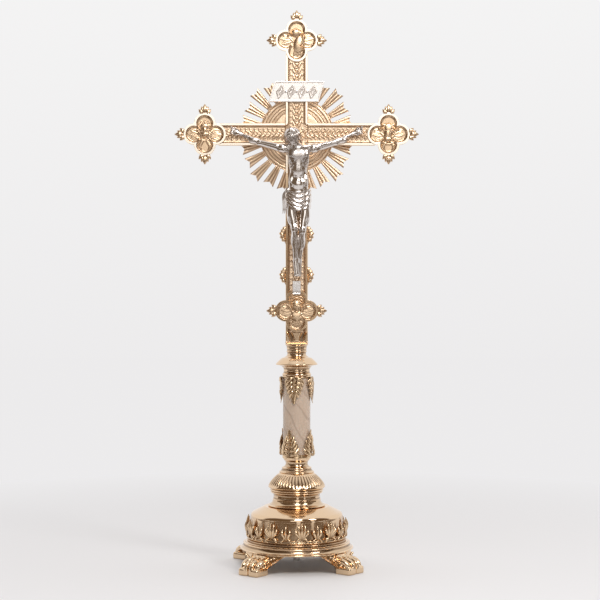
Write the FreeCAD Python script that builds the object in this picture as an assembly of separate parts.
import FreeCAD, Part
import math
import os

# Altar cross of gilt brass: a stand of turned and cast pieces clamped on one tie rod, and a cross
# that sits in a socket at the top of the stand and lifts out.
# Millimetres, +Z up. The origin is on the floor under the stem's axis. The front faces -Y.

VEC = FreeCAD.Vector
UP = VEC(0, 0, 1)
BACK = VEC(0, 1, 0)

# ---------------------------------------------------------------- driving dimensions
# The stand, from the floor up. A joint height is where one piece of the stack sits on the next.
BASE_TURN = 6.0             # degrees that the base stands turned from the cross
PAW_COUNT = 4
RING_BOTTOM = 20.6
RING_TOP = 29.6
RING_LIP = 64.7             # radius of the sharp lip over the arches
RING_BEAD = 61.8
RING_NECK = 58.0            # where the ring meets the drum
RING_BORE = 50.0
DRUM_TOP = 68.8
DRUM_FOOT_RADIUS = 55.0     # the drum's wall tapers upwards
DRUM_RADIUS = 52.8
DRUM_WALL = 2.5
SHOULDER_BOTTOM = 57.0      # the drum's wall ends here and its dome begins
SPOOL_TOP = 84.0
KNOP_TOP = 107.0
KNOP_RADIUS = 33.0
COLLAR_TOP = 124.0
COLUMN_BOTTOM = 127.0
COLUMN_TOP = 216.5
COLUMN_RADIUS = 15.7
CAPITAL_BOTTOM = 218.0
DISC_BOTTOM = 227.0
DISC_RADIUS = 23.8
NECK_BOTTOM = 241.0
SEAT = 255.0                # where the foot of the cross rests on the neck

# Paws
PAW_HEEL = 64.0             # radius of the heel from the stem's axis
PAW_TIP = 89.0              # radius of the toe tips
TOE_COUNT = 4
TOE_RADIUS = 4.6
TOE_PITCH = 7.2
PAD_HEIGHT = 8.0
ANKLE_HALF_WIDTH = 11.0
SKIRT_WALL = 4.0
ARCH_HALF_TOP = 20.0        # half the flat top of the arch between two paws
ARCH_HALF_FOOT = 35.0

# Leaf gallery round the drum
LEAF_PAIRS = 10             # tall and short leaves alternate
GALLERY_BOTTOM = 33.6
GALLERY_BAND = 3.0
GALLERY_GAP = 0.1           # between the foot of the drum's wall and the band
GALLERY_THICK = 1.1
TALL_LEAF = (12.0, 23.0)    # width and height
SHORT_LEAF = (9.5, 19.5)

# Leaf cups at both ends of the column
CUP_WALL = 0.8
CUP_GAP = 0.1
CUP_RIM = 1.2
CUP_LEAF_WIDTH = 15.0
CUP_LEAF_LENGTH = 30.0
CUP_LEAF_BULGE = 3.2
LOWER_CUP_TURN = 62.0       # degrees from +X of the first leaf
UPPER_CUP_TURN = 80.0

# The tie rod, the bridge that it pulls on, and the socket for the cross
ROD_RADIUS = 4.0
ROD_BOTTOM = 6.0
ROD_TOP = 208.0
ROD_HOLE = 4.4
BRIDGE_LENGTH = 112.0
BRIDGE_WIDTH = 18.0
BRIDGE_THICK = 3.0
WASHER_RADIUS = 9.0
WASHER_THICK = 1.6
NUT_FLATS = 13.0
NUT_HEIGHT = 6.5
SPIGOT_RADIUS = 8.0
SPIGOT_HOLE = 8.3
SPIGOT_BOTTOM = 183.0
TANG_RADIUS = 5.0
TANG_CLEARANCE = 0.05
TANG_LENGTH = 41.0
SOCKET_DEPTH = 42.0

# The cross
BEAM_WIDTH = 25.4
BEAM_DEPTH = 7.0
BEAM_RIM = 2.6
BEAM_RECESS = 1.4
ARM_HEIGHT = 495.3          # centre line of the horizontal beam
ARM_REACH = 105.5           # from the stem's axis to a side medallion's centre
TOP_MEDALLION = 603.0
LOW_MEDALLION = 292.6
FOOT_BLOCK_DEPTH = 12.0
FOOT_BLOCK_HEIGHT = 12.5
BEAM_UNDER_LOBE = 9.0       # the beams run this far under the medallions at their ends
TONGUE_WIDTH = 15.0
TONGUE_DEPTH = 3.0

# Quatrefoil medallions and their finials
LOBE_RADIUS = 12.3
LOBE_OFFSET = 12.4
MEDALLION_DEPTH = 4.5
MEDALLION_RIM = 3.0
MEDALLION_RECESS = 1.8
EMBLEM_RADIUS = 9.0
FINIAL_LENGTH = 9.2
FINIAL_HALF_WIDTH = 7.4
FINIAL_SEAT = 0.6           # the finial's root reaches this far into the lobe

# Leaf crockets on the sides of the shaft
CROCKET_HEIGHTS = (333.0, 380.0)
CROCKET_REACH = 7.4
CROCKET_LENGTH = 21.0
CROCKET_DEPTH = 5.0

# Sunburst behind the crossing
BURST_RADIUS = 43.0
BURST_THICK = 2.0
RAY_COUNT = 24
RAY_TIP = 66.0
LONG_RAY_TIP = 70.0         # the four diagonal rays are longer
RAY_ROOT_WIDTH = 6.0
RAY_TIP_WIDTH = 12.6
RAY_NOTCH = 3.6

# Title plate
TITLE_HEIGHT = 544.0
TITLE_WIDTH = 57.4
TITLE_RISE = 24.0
TITLE_SKEW = 7.0
TITLE_THICK = 1.8
TITLE_BORDER = 2.0

# Figure: joints of the body as (x, y, z), then limb radii
NECK_POINT = VEC(-2.0, -16.5, 482.0)
HEAD_CENTRE = VEC(-6.5, -22.0, 492.0)
HEAD_RADIUS = 8.0
SHOULDER_HALF = 17.5
SHOULDER_POINT = VEC(2.0, -13.5, 477.5)
HAND_HALF = 70.0
HAND_HEIGHT = 497.5
HAND_Y = -6.0
UPPER_ARM_RADIUS = 4.4
WRIST_RADIUS = 2.4
HIP_HEIGHT = 428.0
KNEE_HEIGHT = 386.0
ANKLE_HEIGHT = 348.0
TOE_HEIGHT = 328.0
LEG_SPREAD = 4.6
TORSO_SECTIONS = (          # x, y, z, half width, half depth, from the hips up
    (1.6, -11.5, 400.0, 12.0, 6.6),
    (2.0, -11.5, 418.0, 14.0, 7.4),
    (2.4, -12.0, 434.0, 13.4, 7.2),
    (1.8, -12.0, 450.0, 10.6, 6.0),
    (2.2, -13.0, 466.0, 13.0, 7.6),
    (2.0, -13.5, 480.0, 14.0, 6.0),
)
FOOT_REST = (9.0, 6.0, 9.0)      # width, depth, height
FOOT_REST_HEIGHT = 322.4
FOOT_REST_APRON = (1.2, 6.6)     # thickness and drop of the apron in front of the medallion

# Small fasteners
SCREW_RADIUS = 1.5
SCREW_HEAD_RADIUS = 3.0
SCREW_HEAD_THICK = 1.6
SCREW_BITE = 2.5            # length of thread in the piece that a screw holds
NAIL_RADIUS = 0.8
NAIL_HEAD_RADIUS = 1.7

BEAM_FRONT = -BEAM_DEPTH / 2
BEAM_BACK = BEAM_DEPTH / 2
TONGUE_FRONT = BEAM_BACK - TONGUE_DEPTH


# ---------------------------------------------------------------- building blocks
def turned(outline, bore=0.0):
    """Solid of revolution about Z. The outline runs upwards as (radius, z) or (radius, z, bulge):
    a bulge makes that stretch an arc standing out by so much, or hollow if negative."""
    points = [VEC(step[0], 0, step[1]) for step in outline]
    edges = []
    for start, end, step in zip(points, points[1:], outline[1:]):
        if len(step) == 3:
            along = end - start
            out = VEC(along.z, 0, -along.x).normalize()
            middle = (start + end) * 0.5 + out * step[2]
            edges.append(Part.Arc(start, middle, end).toShape())
        else:
            edges.append(Part.LineSegment(start, end).toShape())
    corners = [points[-1], VEC(bore, 0, points[-1].z), VEC(bore, 0, points[0].z), points[0]]
    for start, end in zip(corners, corners[1:]):
        edges.append(Part.LineSegment(start, end).toShape())
    face = Part.Face(Part.Wire(edges))
    return face.revolve(VEC(0, 0, 0), UP, 360)


def tube(radius, bore, low, high):
    return turned([(radius, low), (radius, high)], bore)


def block(low, high):
    """Box between two corners."""
    size = VEC(*high) - VEC(*low)
    return Part.makeBox(size.x, size.y, size.z, VEC(*low))


def plate(outline, y_front, y_back):
    """Flat piece standing upright: its outline is (x, z) points, between two depths."""
    points = [VEC(x, y_front, z) for x, z in outline]
    face = Part.Face(Part.makePolygon(points + points[:1]))
    return face.extrude(VEC(0, y_back - y_front, 0))


def peg(radius, x, z, y_front, y_back):
    """Round peg along Y."""
    return Part.makeCylinder(radius, y_back - y_front, VEC(x, y_front, z), BACK)


def joined(pieces):
    """One solid from overlapping pieces, with seams between flush faces removed where they can be."""
    whole = pieces[0].fuse(pieces[1:]) if len(pieces) > 1 else pieces[0]
    merged = whole.removeSplitter()
    return merged if merged.isValid() else whole


def spun(shape, angle):
    """Copy turned about the stem's axis."""
    copy = shape.copy()
    copy.rotate(VEC(0, 0, 0), UP, angle)
    return copy


def around(shape, count, first_angle=0.0):
    return [spun(shape, first_angle + index * 360.0 / count) for index in range(count)]


def limb(start, start_radius, end, end_radius):
    """Tapered limb with a ball at each end."""
    along = end - start
    if abs(start_radius - end_radius) < 0.01:
        shaft = Part.makeCylinder(start_radius, along.Length, start, along)
    else:
        shaft = Part.makeCone(start_radius, end_radius, along.Length, start, along)
    return [shaft, Part.makeSphere(start_radius, start), Part.makeSphere(end_radius, end)]


def leaf_outline(width, height):
    """Five-lobed pointed leaf as (across, up) points, standing on its middle."""
    half = width / 2
    right = [
        (0.55, 0.00),
        (0.95, 0.22),
        (0.70, 0.30),
        (1.00, 0.55),
        (0.62, 0.60),
        (0.62, 0.82),
    ]
    side = [(across * half, up * height) for across, up in right]
    return side + [(0.0, height)] + [(-across, up) for across, up in reversed(side)]


# ---------------------------------------------------------------- stand
def paw():
    """One lion's paw along +X: pad, toes and ankle, flat underneath."""
    half_toes = TOE_PITCH * (TOE_COUNT - 1) / 2
    pad = block((PAW_HEEL, -half_toes, 0), (PAW_TIP - TOE_RADIUS, half_toes, PAD_HEIGHT))
    toes = []
    knuckle_radius = PAW_HEEL + 6.0
    for index in range(TOE_COUNT):
        across = index * TOE_PITCH - half_toes
        outer = 1.0 if index in (0, TOE_COUNT - 1) else 0.0
        tip = VEC(PAW_TIP - TOE_RADIUS - 3.0 * outer, across, TOE_RADIUS + 0.8)
        knuckle = VEC(knuckle_radius, across * 0.8, TOE_RADIUS + 8.0 - outer)
        toes += limb(knuckle, TOE_RADIUS, tip, TOE_RADIUS)
    ankle = block(
        (PAW_HEEL - 6.0, -ANKLE_HALF_WIDTH, PAD_HEIGHT - 2.0),
        (knuckle_radius, ANKLE_HALF_WIDTH, RING_BOTTOM + 1.0),
    )
    heel = block((PAW_HEEL - 3.0, -ANKLE_HALF_WIDTH, 0), (PAW_HEEL + 1.0, ANKLE_HALF_WIDTH, PAD_HEIGHT))
    floor_cut = block((0, -60, -20), (120, 60, 0))
    return joined([pad, ankle, heel] + toes).cut(floor_cut)


def arch():
    """The opening between two paws, cut outwards along +X."""
    outline = [
        (-ARCH_HALF_FOOT, -1.0),
        (-ARCH_HALF_FOOT, 9.0),
        (-ARCH_HALF_TOP, RING_BOTTOM),
        (ARCH_HALF_TOP, RING_BOTTOM),
        (ARCH_HALF_FOOT, 9.0),
        (ARCH_HALF_FOOT, -1.0),
    ]
    upright = plate(outline, 0, PAW_TIP)
    return spun(upright, -90)


def claw_foot_base():
    """Foot ring, skirt with four arches, and four paws, all one casting."""
    ring = turned(
        [
            (RING_LIP - 2.0, RING_BOTTOM),
            (RING_LIP, RING_BOTTOM + 0.8, 0.2),
            (RING_LIP - 0.9, RING_BOTTOM + 1.6, 0.2),
            (60.8, RING_BOTTOM + 4.4, -0.8),
            (RING_BEAD, RING_BOTTOM + 5.8, 0.2),
            (60.4, RING_BOTTOM + 7.6, 0.3),
            (RING_NECK, RING_TOP, -0.2),
        ],
        RING_BORE,
    )
    skirt_top = RING_LIP - 1.2
    skirt = turned([(70.0, PAD_HEIGHT), (skirt_top, RING_BOTTOM + 0.5, -1.8)], skirt_top - SKIRT_WALL)
    for opening in around(arch(), PAW_COUNT):
        skirt = skirt.cut(opening)
    paws = around(paw(), PAW_COUNT, 180.0 / PAW_COUNT)
    return spun(joined([ring, skirt] + paws), BASE_TURN)


def base_drum():
    """Hollow drum with a domed shoulder, closed on top but for the rod's hole."""
    shell = turned(
        [
            (57.0, RING_TOP),
            (57.0, RING_TOP + 1.6),
            (DRUM_FOOT_RADIUS, GALLERY_BOTTOM - 0.6, -0.6),
            (DRUM_RADIUS, SHOULDER_BOTTOM),
            (50.2, 62.2, 0.9),
            (37.0, DRUM_TOP),
        ],
        ROD_HOLE,
    )
    inner = DRUM_RADIUS - DRUM_WALL
    hollow = turned([(inner, RING_TOP - 1), (inner, 57.0), (46.5, 60.8), (30.0, DRUM_TOP - 4.0)])
    lid_post = tube(SPIGOT_RADIUS, ROD_HOLE, DRUM_TOP - 6.0, DRUM_TOP)
    return joined([shell.cut(hollow), lid_post])


def leaf_gallery():
    """Openwork band of alternating tall and short leaves round the drum."""
    inner = DRUM_FOOT_RADIUS + GALLERY_GAP
    outer = inner + GALLERY_THICK
    band = tube(outer, inner, GALLERY_BOTTOM, GALLERY_BOTTOM + GALLERY_BAND)
    leaves = []
    for first_angle, (width, height) in ((0.0, TALL_LEAF), (180.0 / LEAF_PAIRS, SHORT_LEAF)):
        outline = [(x, z + GALLERY_BOTTOM + 0.5) for x, z in leaf_outline(width, height)]
        leaf = plate(outline, -outer, -inner)
        leaves += around(leaf, LEAF_PAIRS, first_angle)
    return spun(joined([band] + leaves), BASE_TURN)


def lower_spool():
    return turned(
        [
            (31.6, DRUM_TOP),
            (32.8, DRUM_TOP + 0.7),
            (32.6, DRUM_TOP + 1.8, 0.2),
            (27.6, 75.0, -1.0),
            (27.6, 77.0),
            (26.5, 79.0, -0.4),
            (26.5, 81.0),
            (28.8, SPOOL_TOP, -0.8),
        ],
        ROD_HOLE,
    )


def gadrooned_knop():
    return turned(
        [
            (28.8, SPOOL_TOP),
            (30.4, SPOOL_TOP + 1.2, 0.4),
            (30.0, SPOOL_TOP + 3.0),
            (KNOP_RADIUS, SPOOL_TOP + 6.0, 0.3),
            (29.3, 98.0, 1.4),
            (24.7, 103.0, 0.6),
            (19.6, KNOP_TOP, -0.6),
        ],
        ROD_HOLE,
    )


def lower_collar():
    return turned(
        [
            (19.6, KNOP_TOP),
            (19.6, KNOP_TOP + 1.8, 0.5),
            (16.7, 111.8, -0.5),
            (16.7, 113.4, 0.4),
            (12.7, 116.8, -0.8),
            (13.8, 120.6, -0.4),
            (15.6, COLLAR_TOP, 0.4),
        ],
        ROD_HOLE,
    )


def cup_leaf(direction, root_height, angle):
    """One leaf of a cup: it hugs the column and swells out towards its tip."""
    inner = COLUMN_RADIUS + CUP_GAP
    outer = inner + CUP_WALL
    tip_height = root_height + direction * CUP_LEAF_LENGTH
    heights = sorted([root_height, tip_height])
    swell = turned([(outer, heights[0]), (outer, heights[1], CUP_LEAF_BULGE)], inner)
    outline = [(x, root_height + direction * z) for x, z in leaf_outline(CUP_LEAF_WIDTH, CUP_LEAF_LENGTH)]
    mask = plate(outline, 0, inner + 2 * CUP_LEAF_BULGE)
    return spun(swell.common(mask), angle - 90.0)


def leaf_cup(seat_low, seat_high, direction, hole, first_angle):
    """Cup on one end of the column: a seat, a short wall round the stone, and four leaves."""
    inner = COLUMN_RADIUS + CUP_GAP
    outer = inner + CUP_WALL
    seat = tube(outer, hole, seat_low, seat_high)
    wall_start = seat_high if direction > 0 else seat_low
    wall_low, wall_high = sorted([wall_start, wall_start + direction * CUP_RIM])
    wall = tube(outer, inner, wall_low, wall_high)
    leaves = [cup_leaf(direction, wall_start, first_angle + index * 90.0) for index in range(4)]
    return joined([seat, wall] + leaves)


def lower_leaf_cup():
    return leaf_cup(COLLAR_TOP, COLUMN_BOTTOM, 1, ROD_HOLE, LOWER_CUP_TURN)


def upper_leaf_cup():
    return leaf_cup(COLUMN_TOP, CAPITAL_BOTTOM, -1, SPIGOT_HOLE, UPPER_CUP_TURN)


def onyx_column():
    return tube(COLUMN_RADIUS, SPIGOT_HOLE, COLUMN_BOTTOM, COLUMN_TOP)


def capital_ring():
    return turned(
        [
            (15.6, CAPITAL_BOTTOM),
            (16.2, CAPITAL_BOTTOM + 0.8, 0.2),
            (15.8, 221.0, 0.4),
            (14.7, 223.2, -0.3),
            (14.7, 225.2, 0.2),
            (15.4, DISC_BOTTOM, -0.2),
        ],
        SPIGOT_HOLE,
    )


def disc_knop():
    return turned(
        [
            (15.4, DISC_BOTTOM),
            (16.4, DISC_BOTTOM + 1.4, 0.2),
            (DISC_RADIUS, DISC_BOTTOM + 3.8, -0.4),
            (DISC_RADIUS, DISC_BOTTOM + 5.0, 0.3),
            (17.0, 238.6, 0.6),
            (16.1, 239.0),
            (12.0, NECK_BOTTOM, -0.4),
        ],
        SPIGOT_HOLE,
    )


def neck_spool():
    """Neck with ring mouldings on a long spigot. The spigot takes the tie rod from below and the
    tang of the cross from above."""
    neck = turned(
        [
            (11.6, NECK_BOTTOM),
            (10.9, 243.4, -0.2),
            (10.9, 245.0),
            (11.8, 246.4, 0.3),
            (11.0, 248.0, -0.2),
            (11.5, 250.0, 0.3),
            (13.2, SEAT - 1.4, -0.5),
            (13.2, SEAT),
        ]
    )
    spigot = Part.makeCylinder(SPIGOT_RADIUS, NECK_BOTTOM - SPIGOT_BOTTOM, VEC(0, 0, SPIGOT_BOTTOM))
    bore_radius = TANG_RADIUS + TANG_CLEARANCE
    socket = Part.makeCylinder(bore_radius, SOCKET_DEPTH + 1, VEC(0, 0, SEAT - SOCKET_DEPTH))
    thread = Part.makeCylinder(ROD_RADIUS, SEAT - SPIGOT_BOTTOM, VEC(0, 0, SPIGOT_BOTTOM - 1))
    return joined([neck, spigot]).cut(socket).cut(thread)


def tie_rod():
    return Part.makeCylinder(ROD_RADIUS, ROD_TOP - ROD_BOTTOM, VEC(0, 0, ROD_BOTTOM))


def bridge_plate():
    """Flat bar across the underside of the foot ring."""
    half = BRIDGE_LENGTH / 2
    low = RING_BOTTOM - BRIDGE_THICK
    bar = block((-half, -BRIDGE_WIDTH / 2, low), (half, BRIDGE_WIDTH / 2, RING_BOTTOM))
    return bar.cut(Part.makeCylinder(ROD_HOLE, BRIDGE_THICK + 2, VEC(0, 0, low - 1)))


def tie_rod_washer():
    top = RING_BOTTOM - BRIDGE_THICK
    return tube(WASHER_RADIUS, ROD_HOLE, top - WASHER_THICK, top)


def tie_rod_nut():
    top = RING_BOTTOM - BRIDGE_THICK - WASHER_THICK
    corner = NUT_FLATS / math.sqrt(3)
    points = []
    for index in range(7):
        turn = math.radians(60 * index)
        points.append(VEC(corner * math.cos(turn), corner * math.sin(turn), top - NUT_HEIGHT))
    nut = Part.Face(Part.makePolygon(points)).extrude(UP * NUT_HEIGHT)
    return nut.cut(Part.makeCylinder(ROD_RADIUS, NUT_HEIGHT + 2, VEC(0, 0, top - NUT_HEIGHT - 1)))


# ---------------------------------------------------------------- cross
def quatrefoil(radius, x, z, y_front, y_back):
    """Four-lobed plate."""
    lobes = []
    for across, up in ((1, 0), (-1, 0), (0, 1), (0, -1)):
        lobes.append(peg(radius, x + across * LOBE_OFFSET, z + up * LOBE_OFFSET, y_front, y_back))
    lobes.append(peg(LOBE_OFFSET, x, z, y_front, y_back))
    return joined(lobes)


def medallion(x, z, y_front):
    """Quatrefoil with a raised rim and a low boss that carries the emblem."""
    y_floor = y_front + MEDALLION_RECESS
    body = quatrefoil(LOBE_RADIUS, x, z, y_front, y_front + MEDALLION_DEPTH)
    recess = quatrefoil(LOBE_RADIUS - MEDALLION_RIM, x, z, y_front - 1, y_floor)
    boss = peg(EMBLEM_RADIUS, x, z, y_front - 0.8, y_floor + 0.5)
    return joined([body.cut(recess), boss])


def finial_blank():
    """Three-lobed bud pointing up +Z from the origin, with its root below the origin."""
    bud = turned([(2.6, -FINIAL_SEAT), (4.0, 2.2, 0.5), (3.4, 5.2, 0.5), (0.4, FINIAL_LENGTH, -0.4)])
    lobe_radius = 3.0
    lobe_out = FINIAL_HALF_WIDTH - lobe_radius
    side_lobes = []
    for side in (-1, 1):
        ball = VEC(side * lobe_out, 0, lobe_radius - FINIAL_SEAT + 0.4)
        side_lobes += limb(VEC(0, 0, 1.8), 2.0, ball, lobe_radius)
    return joined([bud] + side_lobes)


def finial(medallion_shape, x, z, y_middle, across, up):
    """Finial on the lobe that points along (across, up), seated against that lobe's edge."""
    bud = finial_blank()
    bud.rotate(VEC(0, 0, 0), VEC(0, 1, 0), math.degrees(math.atan2(across, up)))
    reach = LOBE_OFFSET + LOBE_RADIUS
    bud.translate(VEC(x + across * reach, y_middle, z + up * reach))
    return bud.cut(medallion_shape)


def panel(low, high):
    """Recess sunk into the front of a beam, between (x, z) corners."""
    return block((low[0], BEAM_FRONT - 1, low[1]), (high[0], BEAM_FRONT + BEAM_RECESS, high[1]))


def cross_frame():
    """Both beams in one casting, with sunk panels in front and a deeper block at the foot."""
    half = BEAM_WIDTH / 2
    sunk = half - BEAM_RIM
    lobe_edge = LOBE_OFFSET + LOBE_RADIUS - BEAM_UNDER_LOBE
    beam_top = TOP_MEDALLION - lobe_edge
    arm_end = ARM_REACH - lobe_edge
    foot_top = SEAT + FOOT_BLOCK_HEIGHT
    arm_low = ARM_HEIGHT - half
    arm_high = ARM_HEIGHT + half
    shaft = block((-half, BEAM_FRONT, SEAT), (half, BEAM_BACK, beam_top))
    arms = block((-arm_end, BEAM_FRONT, arm_low), (arm_end, BEAM_BACK, arm_high))
    deep = FOOT_BLOCK_DEPTH / 2
    foot = block((-half, -deep, SEAT), (half, deep, foot_top))
    tongue = TONGUE_WIDTH / 2
    top_tongue = block((-tongue, TONGUE_FRONT, beam_top - 1), (tongue, BEAM_BACK, TOP_MEDALLION + tongue))
    reach = ARM_REACH + tongue
    side_tongue = block(
        (-reach, TONGUE_FRONT, ARM_HEIGHT - tongue),
        (reach, BEAM_BACK, ARM_HEIGHT + tongue),
    )
    frame = joined([shaft, arms, foot, top_tongue, side_tongue])
    panels = [
        panel((-sunk, foot_top + 4.0), (sunk, arm_low)),
        panel((-sunk, arm_high), (sunk, beam_top - BEAM_RIM)),
        panel((-arm_end + BEAM_RIM, arm_low + BEAM_RIM), (-half, arm_high - BEAM_RIM)),
        panel((half, arm_low + BEAM_RIM), (arm_end - BEAM_RIM, arm_high - BEAM_RIM)),
        panel((-sunk, arm_low), (sunk, arm_high)),
    ]
    ends = ((0.0, TOP_MEDALLION), (-ARM_REACH, ARM_HEIGHT), (ARM_REACH, ARM_HEIGHT))
    pockets = [quatrefoil(LOBE_RADIUS, x, z, 2 * BEAM_FRONT, TONGUE_FRONT) for x, z in ends]
    for hollow in panels + pockets:
        frame = frame.cut(hollow)
    foot_panel = block((-sunk, -deep - 1, SEAT + BEAM_RIM), (sunk, -deep + 1.0, foot_top - BEAM_RIM))
    hole = Part.makeCylinder(TANG_RADIUS - 1, 14.0, VEC(0, 0, SEAT - 1))
    frame = frame.cut(foot_panel).cut(hole)
    for x, z, y_front in all_screw_places():
        frame = frame.cut(peg(SCREW_RADIUS, x, z, y_front, BEAM_BACK + 5))
    return frame


def cross_tang():
    """Round tang that drops into the socket, with a thinner end set in the foot block."""
    tang = Part.makeCylinder(TANG_RADIUS, TANG_LENGTH, VEC(0, 0, SEAT - TANG_LENGTH))
    set_end = Part.makeCylinder(TANG_RADIUS - 1, 12.0, VEC(0, 0, SEAT))
    return joined([tang, set_end])


def crocket(side, z):
    """Leaf that curls outwards from the side of the shaft."""
    half = BEAM_WIDTH / 2
    up = CROCKET_LENGTH / 2
    outline = [
        (0.0, -up),
        (0.45 * CROCKET_REACH, -0.75 * up),
        (0.80 * CROCKET_REACH, -0.25 * up),
        (CROCKET_REACH, 0.20 * up),
        (0.75 * CROCKET_REACH, 0.55 * up),
        (0.50 * CROCKET_REACH, 0.70 * up),
        (0.30 * CROCKET_REACH, up),
        (0.0, up),
    ]
    points = [(side * (half + x), z + rise) for x, rise in outline]
    return plate(points, -CROCKET_DEPTH / 2, CROCKET_DEPTH / 2)


def sunburst():
    """Moulded disc with forked rays, standing flat against the back of the crossing."""
    y_front = BEAM_BACK
    y_back = BEAM_BACK + BURST_THICK
    disc = peg(BURST_RADIUS, 0, ARM_HEIGHT, y_front, y_back)
    rays = []
    for index in range(RAY_COUNT):
        turn = index * 360.0 / RAY_COUNT
        diagonal = abs((turn % 90.0) - 45.0) < 1.0
        tip = LONG_RAY_TIP if diagonal else RAY_TIP
        outline = [
            (-RAY_ROOT_WIDTH / 2, BURST_RADIUS - 3.0),
            (RAY_ROOT_WIDTH / 2, BURST_RADIUS - 3.0),
            (RAY_TIP_WIDTH / 2, tip),
            (0.0, tip - RAY_NOTCH),
            (-RAY_TIP_WIDTH / 2, tip),
        ]
        ray = plate(outline, y_front, y_back)
        ray.rotate(VEC(0, 0, 0), BACK, turn)
        ray.translate(VEC(0, 0, ARM_HEIGHT))
        rays.append(ray)
    body = joined([disc] + rays)
    through = screw_places("sunburst") + screw_places("corpus") + screw_places("titulus")
    for x, z, y_start in through:
        body = body.cut(peg(SCREW_RADIUS, x, z, y_start, y_back + 1))
    return body


def titulus():
    """Leaning plate with a raised border and a plain field."""
    half = TITLE_WIDTH / 2
    rise = TITLE_RISE / 2
    lean = TITLE_SKEW / 2
    border = TITLE_BORDER

    def leaning(inset):
        wide = half - inset
        high = rise - inset
        tilt = lean * high / rise
        return [
            (-wide - tilt, TITLE_HEIGHT - high),
            (wide - tilt, TITLE_HEIGHT - high),
            (wide + tilt, TITLE_HEIGHT + high),
            (-wide + tilt, TITLE_HEIGHT + high),
        ]

    y_back = BEAM_FRONT
    y_front = y_back - TITLE_THICK
    body = plate(leaning(0.0), y_front, y_back)
    field = plate(leaning(border), y_front - 1, y_front + 0.6)
    return body.cut(field)


# ---------------------------------------------------------------- figure
def oval(x, y, z, half_width, half_depth):
    """Level oval wire round a centre."""
    centre = VEC(x, y, z)
    if half_width >= half_depth:
        ellipse = Part.Ellipse(VEC(x + half_width, y, z), VEC(x, y + half_depth, z), centre)
    else:
        ellipse = Part.Ellipse(VEC(x, y + half_depth, z), VEC(x + half_width, y, z), centre)
    return Part.Wire(ellipse.toShape())


def corpus_leg(side):
    hip = VEC(1.0 + side * LEG_SPREAD, -11.5, HIP_HEIGHT - 20.0)
    knee = VEC(0.5 + side * LEG_SPREAD * 0.8, -14.0, KNEE_HEIGHT)
    ankle = VEC(side * 1.8, -8.5, ANKLE_HEIGHT)
    toe = VEC(side * 1.6, -9.0, TOE_HEIGHT + 3.0)
    pieces = limb(hip, 6.2, knee, 4.6)
    pieces += limb(knee, 4.6, ankle, 2.8)
    pieces += limb(ankle, 2.8, toe, 2.4)
    return pieces[0].fuse(pieces[1:])


def corpus_body():
    """Head, trunk, cloth and legs of the figure as one plain casting."""
    trunk = Part.makeLoft([oval(*section) for section in TORSO_SECTIONS], True)
    pieces = limb(SHOULDER_POINT + VEC(-1.0, 0, -3.0), 6.0, NECK_POINT, 4.6)
    pieces += limb(NECK_POINT, 4.6, HEAD_CENTRE, HEAD_RADIUS)
    body = trunk.fuse(pieces)
    for side in (-1, 1):
        body = body.fuse(corpus_leg(side))
    return body


def corpus_arm(side, body):
    """Outstretched arm, cast apart and fitted to the shoulder."""
    shoulder = VEC(SHOULDER_POINT.x + side * SHOULDER_HALF, SHOULDER_POINT.y, SHOULDER_POINT.z)
    hand = VEC(side * HAND_HALF, HAND_Y, HAND_HEIGHT)
    elbow = shoulder + (hand - shoulder) * 0.5 + VEC(0, 0.6, -1.4)
    finger = hand + VEC(side * 6.0, 0.2, 0.6)
    pieces = limb(shoulder, UPPER_ARM_RADIUS + 1.0, elbow, UPPER_ARM_RADIUS - 0.8)
    pieces += limb(elbow, UPPER_ARM_RADIUS - 0.8, hand, WRIST_RADIUS)
    pieces += limb(hand, WRIST_RADIUS, finger, 1.6)
    return joined(pieces).cut(body)


def foot_rest():
    width, depth, height = FOOT_REST
    thick, drop = FOOT_REST_APRON
    half = width / 2
    low = FOOT_REST_HEIGHT - height / 2
    front = BEAM_FRONT - depth
    body = block((-half, front, low), (half, BEAM_FRONT, low + height))
    apron = block((-half, front, low - drop), (half, front + thick, low + 1.0))
    return joined([body, apron])


def corpus_nails():
    """One nail through each hand and one through the feet."""
    nails = []
    for x, z, y_head in ((-HAND_HALF, HAND_HEIGHT, HAND_Y), (HAND_HALF, HAND_HEIGHT, HAND_Y)):
        nails.append(nail(x, z, y_head - WRIST_RADIUS))
    nails.append(nail(0.0, (ANKLE_HEIGHT + TOE_HEIGHT) / 2, -12.0))
    return nails


def nail(x, z, y_head):
    shank = peg(NAIL_RADIUS, x, z, y_head - 0.4, BEAM_FRONT + 2.0)
    head = peg(NAIL_HEAD_RADIUS, x, z, y_head - 1.2, y_head - 0.2)
    return joined([shank, head])


# ---------------------------------------------------------------- screws at the back
def screw_places(group):
    """Where a group's screws go, as (x, z, y of the tip)."""
    applied = BEAM_FRONT - SCREW_BITE
    tucked = TONGUE_FRONT - SCREW_BITE
    spread = 28.0
    places = {
        "medallion": [
            (0.0, TOP_MEDALLION, tucked),
            (-ARM_REACH, ARM_HEIGHT, tucked),
            (ARM_REACH, ARM_HEIGHT, tucked),
            (0.0, LOW_MEDALLION, applied),
        ],
        "sunburst": [(-spread, ARM_HEIGHT, 0.0), (spread, ARM_HEIGHT, 0.0)],
        "corpus": [(2.0, 468.0, -12.0), (2.0, 420.0, -12.0)],
        "titulus": [(-6.0, TITLE_HEIGHT, BEAM_FRONT - 0.8), (6.0, TITLE_HEIGHT, BEAM_FRONT - 0.8)],
    }
    return places[group]


def all_screw_places():
    groups = ("medallion", "sunburst", "corpus", "titulus")
    return [place for group in groups for place in screw_places(group)]


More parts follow.
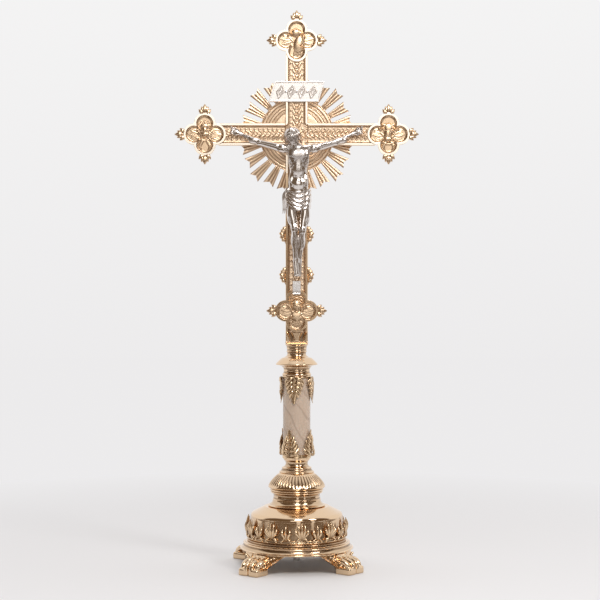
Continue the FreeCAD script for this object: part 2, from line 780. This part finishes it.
def screws(group):
    """Screws from the back of the cross, with round heads."""
    pieces = []
    for x, z, y_tip in screw_places(group):
        behind_burst = math.hypot(x, z - ARM_HEIGHT) < LONG_RAY_TIP
        y_seat = BEAM_BACK + (BURST_THICK if behind_burst else 0.0)
        shank = peg(SCREW_RADIUS, x, z, y_tip, y_seat)
        head = peg(SCREW_HEAD_RADIUS, x, z, y_seat, y_seat + SCREW_HEAD_THICK)
        pieces.append(joined([shank, head]))
    return pieces


def tapped(shape, group):
    """The piece with holes for the screws that hold it."""
    for x, z, y_tip in screw_places(group):
        shape = shape.cut(peg(SCREW_RADIUS, x, z, y_tip, BEAM_BACK))
    return shape


# ---------------------------------------------------------------- write the parts
def medallions_and_finials():
    """Every medallion, then its finials, each fitted to its own medallion."""
    sides = {"up": (0, 1), "down": (0, -1), "left": (-1, 0), "right": (1, 0)}
    behind = TONGUE_FRONT - MEDALLION_DEPTH
    applied = BEAM_FRONT - MEDALLION_DEPTH
    layout = {
        "top": (0.0, TOP_MEDALLION, behind, ("up", "left", "right")),
        "left": (-ARM_REACH, ARM_HEIGHT, behind, ("up", "left", "down")),
        "right": (ARM_REACH, ARM_HEIGHT, behind, ("up", "right", "down")),
        "bottom": (0.0, LOW_MEDALLION, applied, ("left", "right")),
    }
    shapes = {}
    for place, (x, z, y_front, finials) in layout.items():
        shape = tapped(medallion(x, z, y_front), "medallion")
        shapes["medallion_" + place] = shape
        for direction in finials:
            across, up = sides[direction]
            name = "finial_" + place + "_" + direction
            shapes[name] = finial(shape, x, z, y_front + MEDALLION_DEPTH / 2, across, up)
    return shapes


def figure():
    body = corpus_body()
    rest = foot_rest()
    nails = corpus_nails()
    left_arm = corpus_arm(-1, body)
    right_arm = corpus_arm(1, body)
    for pin in nails:
        body = body.cut(pin)
        left_arm = left_arm.cut(pin)
        right_arm = right_arm.cut(pin)
    return {
        "corpus_body": tapped(body.cut(rest), "corpus"),
        "corpus_left_arm": left_arm,
        "corpus_right_arm": right_arm,
        "foot_rest": rest,
        "corpus_nails": Part.makeCompound(nails),
    }


def build():
    shapes = {
        "claw_foot_base": claw_foot_base(),
        "base_drum": base_drum(),
        "leaf_gallery": leaf_gallery(),
        "lower_spool": lower_spool(),
        "gadrooned_knop": gadrooned_knop(),
        "lower_collar": lower_collar(),
        "lower_leaf_cup": lower_leaf_cup(),
        "onyx_column": onyx_column(),
        "upper_leaf_cup": upper_leaf_cup(),
        "capital_ring": capital_ring(),
        "disc_knop": disc_knop(),
        "neck_spool": neck_spool(),
        "tie_rod": tie_rod(),
        "bridge_plate": bridge_plate(),
        "tie_rod_washer": tie_rod_washer(),
        "tie_rod_nut": tie_rod_nut(),
        "cross_tang": cross_tang(),
        "sunburst": sunburst(),
        "titulus": tapped(titulus(), "titulus"),
    }
    shapes.update(medallions_and_finials())
    shapes.update(figure())
    frame = cross_frame()
    for pin in corpus_nails():
        frame = frame.cut(pin)
    shapes["cross_frame"] = frame
    for level, height in zip(("lower", "upper"), CROCKET_HEIGHTS):
        shapes["crocket_" + level + "_left"] = crocket(-1, height)
        shapes["crocket_" + level + "_right"] = crocket(1, height)
    for group in ("medallion", "sunburst", "corpus", "titulus"):
        shapes[group + "_screws"] = Part.makeCompound(screws(group))
    return shapes


os.makedirs("parts", exist_ok=True)
for node, shape in build().items():
    if not shape.isValid():
        raise RuntimeError("invalid shape: " + node)
    shape.exportStep("parts/" + node + ".step")
    print(node, len(shape.Solids), round(shape.Volume, 1))
